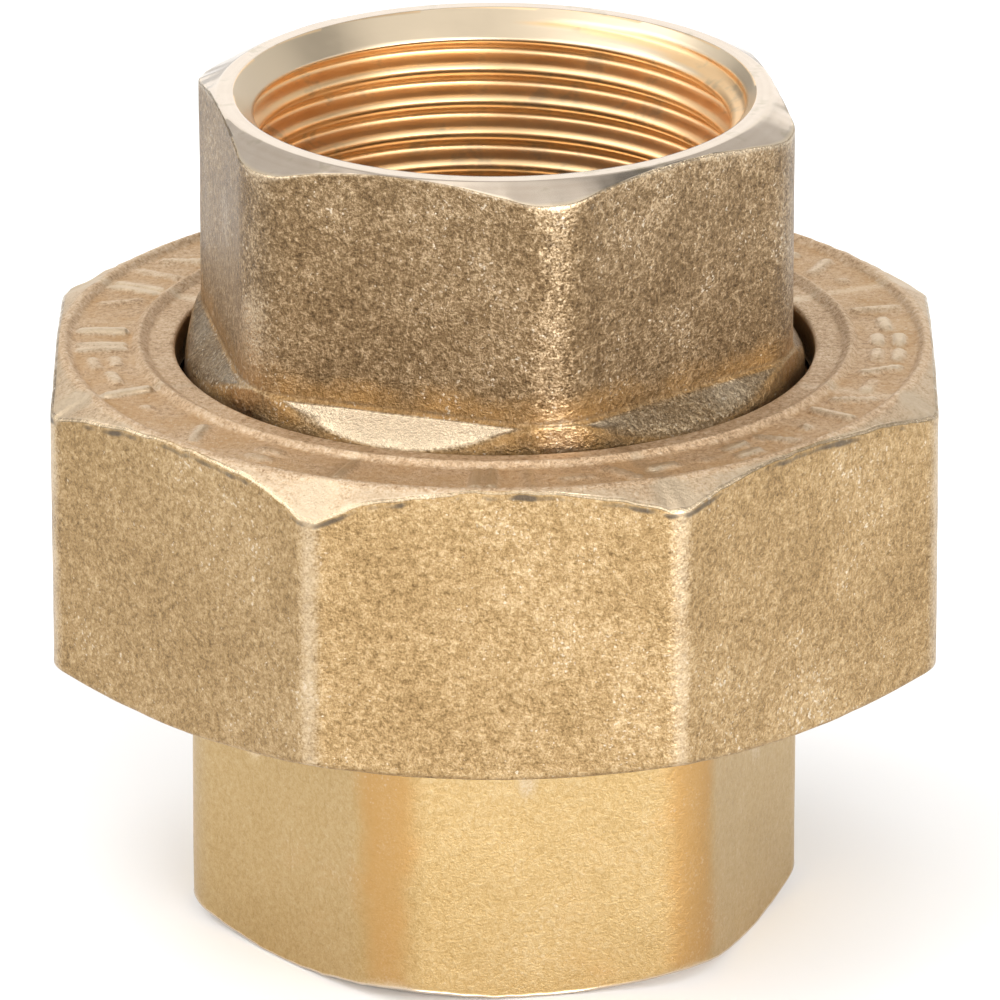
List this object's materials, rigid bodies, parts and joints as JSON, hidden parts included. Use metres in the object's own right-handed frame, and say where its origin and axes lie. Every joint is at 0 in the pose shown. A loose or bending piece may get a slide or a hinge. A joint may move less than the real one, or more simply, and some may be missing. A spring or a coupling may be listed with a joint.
{
  "type": "pipe union",
  "caption": "Brass flat-seat pipe union: two hexagon socket ends with internal pipe threads, drawn together by an octagon union nut over a flat sealing ring.",
  "frame": {"origin": "centre of the lower end's face, on the pipe axis", "axes": "+Z along the pipe axis from the lower end to the upper end; one flat of the union nut faces -Y"},
  "size_m": [0.0464, 0.0464, 0.0454],
  "materials": {
    "satin_brass": "satin cast surface with machined end face and threads",
    "nut_brass": "fine sand-cast grain, worn corners, machined bore",
    "sand_brass": "dark sand-cast grain with bright machined mouth and threads",
    "seal_rubber": "matt moulded rubber"
  },
  "bodies": {
    "lower_end": {"lower_end": "satin_brass"},
    "gasket": {"gasket": "seal_rubber"},
    "union_nut": {"union_nut": "nut_brass"},
    "upper_end": {"upper_end": "sand_brass"}
  },
  "joints": [
    {"name": "gasket_lift", "type": "slide", "parent": "lower_end", "child": "gasket", "axis": [0, 0, 1], "range_m": [0, 0.00693]},
    {"name": "nut_unscrew", "type": "hinge", "parent": "gasket", "child": "union_nut", "pos_m": [0, 0, 0.0241], "axis": [0, 0, 1], "range_deg": [0, 1080]},
    {"name": "upper_swivel", "type": "hinge", "parent": "gasket", "child": "upper_end", "pos_m": [0, 0, 0.0264], "axis": [0, 0, 1], "continuous": true}
  ],
  "couplings": [
    {"joint": "gasket_lift", "follows": "nut_unscrew", "m_per_rad": 0.00036749}
  ]
}
